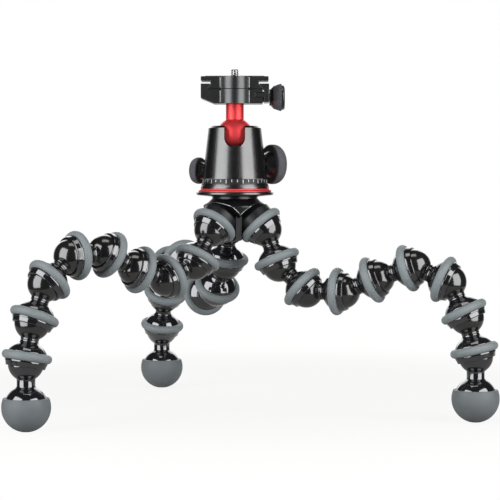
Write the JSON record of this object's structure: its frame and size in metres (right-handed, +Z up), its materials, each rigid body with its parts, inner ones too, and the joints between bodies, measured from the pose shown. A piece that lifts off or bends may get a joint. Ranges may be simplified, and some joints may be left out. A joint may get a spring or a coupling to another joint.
{
  "type": "flexible leg tripod",
  "caption": "Flexible tripod with ball-and-socket legs, rubber grip rings, round rubber feet and a ball head with a dovetail quick-release clamp.",
  "frame": {"origin": "on the floor, under the middle of the overall box", "axes": "+Z up along the camera screw; +X to the right and -Y toward the viewer, with the housing's notch facing -Y"},
  "size_m": [0.3708, 0.3304, 0.2696],
  "materials": {
    "black_gloss": "glossy moulded black",
    "foot_rubber": "matt grey rubber",
    "ring_rubber": "matt grey rubber",
    "knob_rubber": "fine-ridged grey rubber",
    "pad_rubber": "matt black rubber",
    "red_anodised": "satin red anodised",
    "steel": "bright turned steel",
    "brass": "turned brass",
    "nylon": "plain nylon",
    "black_plastic": "satin black",
    "black_anodised": "satin black anodised"
  },
  "bodies": {
    "hub_and_base": {"hub_body": "black_gloss", "hub_grip_rings": "ring_rubber", "head_mount_stud": "steel", "base_disc": "black_anodised", "accent_ring": "red_anodised", "pan_base": "black_anodised", "pan_retainer": "steel"},
    "housing": {"bearing_plate": "brass", "head_housing": "black_anodised", "ball_seat": "nylon"},
    "lock_knob": {"lock_shaft": "steel", "lock_knob": "black_plastic", "lock_knob_grip": "knob_rubber"},
    "pan_knob": {"pan_shaft": "steel", "pan_knob": "black_plastic", "pan_knob_grip": "knob_rubber"},
    "ball": {"tilt_ball": "red_anodised"},
    "stem_and_clamp": {"head_stem": "red_anodised", "clamp_body": "black_anodised", "clamp_bolt": "steel"},
    "jaw": {"moving_jaw": "black_anodised"},
    "clamp_knob": {"clamp_screw": "steel", "clamp_knob": "black_plastic", "clamp_knob_grip": "knob_rubber", "clamp_knob_cap": "black_plastic"},
    "plate": {"quick_release_plate": "black_anodised", "plate_pad": "pad_rubber"},
    "camera_screw": {"camera_screw": "steel"},
    "right_segment_1": {"right_leg_segment_1": "black_gloss"},
    "right_segment_2": {"right_leg_segment_2": "black_gloss"},
    "right_segment_3": {"right_leg_segment_3": "black_gloss"},
    "right_segment_4": {"right_leg_segment_4": "black_gloss"},
    "right_segment_5": {"right_leg_segment_5": "black_gloss"},
    "right_segment_6": {"right_leg_segment_6": "black_gloss"},
    "right_segment_7": {"right_leg_segment_7": "black_gloss"},
    "right_segment_8": {"right_leg_segment_8": "black_gloss"},
    "right_foot": {"right_foot_stem": "black_gloss", "right_foot_pad": "foot_rubber"},
    "left_segment_1": {"left_leg_segment_1": "black_gloss"},
    "left_segment_2": {"left_leg_segment_2": "black_gloss"},
    "left_segment_3": {"left_leg_segment_3": "black_gloss"},
    "left_segment_4": {"left_leg_segment_4": "black_gloss"},
    "left_segment_5": {"left_leg_segment_5": "black_gloss"},
    "left_segment_6": {"left_leg_segment_6": "black_gloss"},
    "left_segment_7": {"left_leg_segment_7": "black_gloss"},
    "left_segment_8": {"left_leg_segment_8": "black_gloss"},
    "left_foot": {"left_foot_stem": "black_gloss", "left_foot_pad": "foot_rubber"},
    "rear_segment_1": {"rear_leg_segment_1": "black_gloss"},
    "rear_segment_2": {"rear_leg_segment_2": "black_gloss"},
    "rear_segment_3": {"rear_leg_segment_3": "black_gloss"},
    "rear_segment_4": {"rear_leg_segment_4": "black_gloss"},
    "rear_segment_5": {"rear_leg_segment_5": "black_gloss"},
    "rear_segment_6": {"rear_leg_segment_6": "black_gloss"},
    "rear_segment_7": {"rear_leg_segment_7": "black_gloss"},
    "rear_segment_8": {"rear_leg_segment_8": "black_gloss"},
    "rear_foot": {"rear_foot_stem": "black_gloss", "rear_foot_pad": "foot_rubber"}
  },
  "joints": [
    {"name": "pan", "type": "hinge", "parent": "hub_and_base", "child": "housing", "pos_m": [-0.0156, -0.02639, 0.18971], "axis": [0, 0, 1], "continuous": true},
    {"name": "ball_tilt", "type": "hinge", "parent": "housing", "child": "ball", "pos_m": [-0.0156, -0.02639, 0.21741], "axis": [1, 0, 0], "range_deg": [-28, 90]},
    {"name": "ball_swivel", "type": "hinge", "parent": "ball", "child": "stem_and_clamp", "pos_m": [-0.0156, -0.02639, 0.21741], "axis": [0, 0, 1], "range_deg": [-180, 180]},
    {"name": "lock_knob_turn", "type": "hinge", "parent": "housing", "child": "lock_knob", "pos_m": [-0.0156, -0.02639, 0.19512], "axis": [0.866, 0.5, 0], "range_deg": [0, 360]},
    {"name": "pan_knob_turn", "type": "hinge", "parent": "housing", "child": "pan_knob", "pos_m": [-0.0156, -0.02639, 0.19012], "axis": [-0.8829, 0.4695, 0], "range_deg": [0, 360]},
    {"name": "jaw_slide", "type": "slide", "parent": "stem_and_clamp", "child": "jaw", "axis": [1, 0, 0], "range_m": [0, 0.00376]},
    {"name": "clamp_knob_turn", "type": "hinge", "parent": "jaw", "child": "clamp_knob", "pos_m": [-0.0156, -0.02639, 0.24762], "axis": [1, 0, 0], "range_deg": [0, 1080]},
    {"name": "plate_slide", "type": "slide", "parent": "stem_and_clamp", "child": "plate", "axis": [0, 1, 0], "range_m": [-0.025, 0.025]},
    {"name": "camera_screw_turn", "type": "hinge", "parent": "plate", "child": "camera_screw", "pos_m": [-0.0156, -0.02639, 0.26356], "axis": [0, 0, 1], "continuous": true},
    {"name": "right_leg_joint_1", "type": "hinge", "parent": "hub_and_base", "child": "right_segment_1", "pos_m": [0.00799, -0.03405, 0.14402], "axis": [0.342, 0.9397, 0], "range_deg": [-63, 24]},
    {"name": "right_leg_joint_2", "type": "hinge", "parent": "right_segment_1", "child": "right_segment_2", "pos_m": [0.019, -0.03806, 0.1164], "axis": [-0.342, -0.9397, 0], "range_deg": [-70, 18]},
    {"name": "right_leg_joint_3", "type": "hinge", "parent": "right_segment_2", "child": "right_segment_3", "pos_m": [0.04028, -0.04581, 0.09672], "axis": [0.342, 0.9397, 0], "range_deg": [-3, 85]},
    {"name": "right_leg_joint_4", "type": "hinge", "parent": "right_segment_3", "child": "right_segment_4", "pos_m": [0.06847, -0.05607, 0.09672], "axis": [-0.342, -0.9397, 0], "range_deg": [-66, 22]},
    {"name": "right_leg_joint_5", "type": "hinge", "parent": "right_segment_4", "child": "right_segment_5", "pos_m": [0.0946, -0.06558, 0.10796], "axis": [0.342, 0.9397, 0], "range_deg": [-48, 40]},
    {"name": "right_leg_joint_6", "type": "hinge", "parent": "right_segment_5", "child": "right_segment_6", "pos_m": [0.12142, -0.07534, 0.11723], "axis": [-0.342, -0.9397, 0], "range_deg": [-4, 84]},
    {"name": "right_leg_joint_7", "type": "hinge", "parent": "right_segment_6", "child": "right_segment_7", "pos_m": [0.14755, -0.08485, 0.10599], "axis": [0.342, 0.9397, 0], "range_deg": [-85, 3]},
    {"name": "right_leg_joint_8", "type": "hinge", "parent": "right_segment_7", "child": "right_segment_8", "pos_m": [0.16035, -0.08951, 0.07926], "axis": [-0.342, -0.9397, 0], "range_deg": [-31, 57]},
    {"name": "right_foot_joint", "type": "hinge", "parent": "right_segment_8", "child": "right_foot", "pos_m": [0.16717, -0.09199, 0.05015], "axis": [0.342, 0.9397, 0], "range_deg": [-58, 30]},
    {"name": "left_leg_joint_1", "type": "hinge", "parent": "hub_and_base", "child": "left_segment_1", "pos_m": [-0.03403, -0.04299, 0.14402], "axis": [0.6157, -0.788, 0], "range_deg": [-54, 33]},
    {"name": "left_leg_joint_2", "type": "hinge", "parent": "left_segment_1", "child": "left_segment_2", "pos_m": [-0.04656, -0.05277, 0.11857], "axis": [-0.6157, 0.788, 0], "range_deg": [-80, 8]},
    {"name": "left_leg_joint_3", "type": "hinge", "parent": "left_segment_2", "child": "left_segment_3", "pos_m": [-0.06848, -0.0699, 0.10734], "axis": [0.6157, -0.788, 0], "range_deg": [-4, 84]},
    {"name": "left_leg_joint_4", "type": "hinge", "parent": "left_segment_3", "child": "left_segment_4", "pos_m": [-0.09096, -0.08746, 0.11661], "axis": [-0.6157, 0.788, 0], "range_deg": [-51, 37]},
    {"name": "left_leg_joint_5", "type": "hinge", "parent": "left_segment_4", "child": "left_segment_5", "pos_m": [-0.11239, -0.1042, 0.12929], "axis": [0.6157, -0.788, 0], "range_deg": [-73, 14]},
    {"name": "left_leg_joint_6", "type": "hinge", "parent": "left_segment_5", "child": "left_segment_6", "pos_m": [-0.13596, -0.12262, 0.1271], "axis": [-0.6157, 0.788, 0], "range_deg": [-7, 80]},
    {"name": "left_leg_joint_7", "type": "hinge", "parent": "left_segment_6", "child": "left_segment_7", "pos_m": [-0.1538, -0.13656, 0.10741], "axis": [0.6157, -0.788, 0], "range_deg": [-71, 17]},
    {"name": "left_leg_joint_8", "type": "hinge", "parent": "left_segment_7", "child": "left_segment_8", "pos_m": [-0.16266, -0.14348, 0.0796], "axis": [-0.6157, 0.788, 0], "range_deg": [-33, 55]},
    {"name": "left_foot_joint", "type": "hinge", "parent": "left_segment_8", "child": "left_foot", "pos_m": [-0.16717, -0.14701, 0.05015], "axis": [0.6157, -0.788, 0], "range_deg": [-55, 33]},
    {"name": "rear_leg_joint_1", "type": "hinge", "parent": "hub_and_base", "child": "rear_segment_1", "pos_m": [-0.02076, -0.00213, 0.14402], "axis": [-0.9272, -0.3746, 0], "range_deg": [-70, 17]},
    {"name": "rear_leg_joint_2", "type": "hinge", "parent": "rear_segment_1", "child": "rear_segment_2", "pos_m": [-0.02386, 0.00553, 0.11518], "axis": [0.9272, 0.3746, 0], "range_deg": [-70, 18]},
    {"name": "rear_leg_joint_3", "type": "hinge", "parent": "rear_segment_2", "child": "rear_segment_3", "pos_m": [-0.03138, 0.02415, 0.09288], "axis": [-0.9272, -0.3746, 0], "range_deg": [-4, 83]},
    {"name": "rear_leg_joint_4", "type": "hinge", "parent": "rear_segment_3", "child": "rear_segment_4", "pos_m": [-0.04248, 0.05163, 0.08823], "axis": [0.9272, 0.3746, 0], "range_deg": [-86, 1]},
    {"name": "rear_leg_joint_5", "type": "hinge", "parent": "rear_segment_4", "child": "rear_segment_5", "pos_m": [-0.05179, 0.07469, 0.10501], "axis": [-0.9272, -0.3746, 0], "range_deg": [-57, 31]},
    {"name": "rear_leg_joint_6", "type": "hinge", "parent": "rear_segment_5", "child": "rear_segment_6", "pos_m": [-0.06229, 0.10065, 0.11576], "axis": [0.9272, 0.3746, 0], "range_deg": [-3, 85]},
    {"name": "rear_leg_joint_7", "type": "hinge", "parent": "rear_segment_6", "child": "rear_segment_7", "pos_m": [-0.07285, 0.12679, 0.1055], "axis": [-0.9272, -0.3746, 0], "range_deg": [-85, 3]},
    {"name": "rear_leg_joint_8", "type": "hinge", "parent": "rear_segment_7", "child": "rear_segment_8", "pos_m": [-0.0783, 0.14028, 0.07926], "axis": [0.9272, 0.3746, 0], "range_deg": [-29, 59]},
    {"name": "rear_foot_joint", "type": "hinge", "parent": "rear_segment_8", "child": "rear_foot", "pos_m": [-0.08101, 0.14701, 0.05015], "axis": [-0.9272, -0.3746, 0], "range_deg": [-58, 30]}
  ],
  "couplings": [
    {"joint": "jaw_slide", "follows": "clamp_knob_turn", "m_per_rad": 0.00019894}
  ]
}
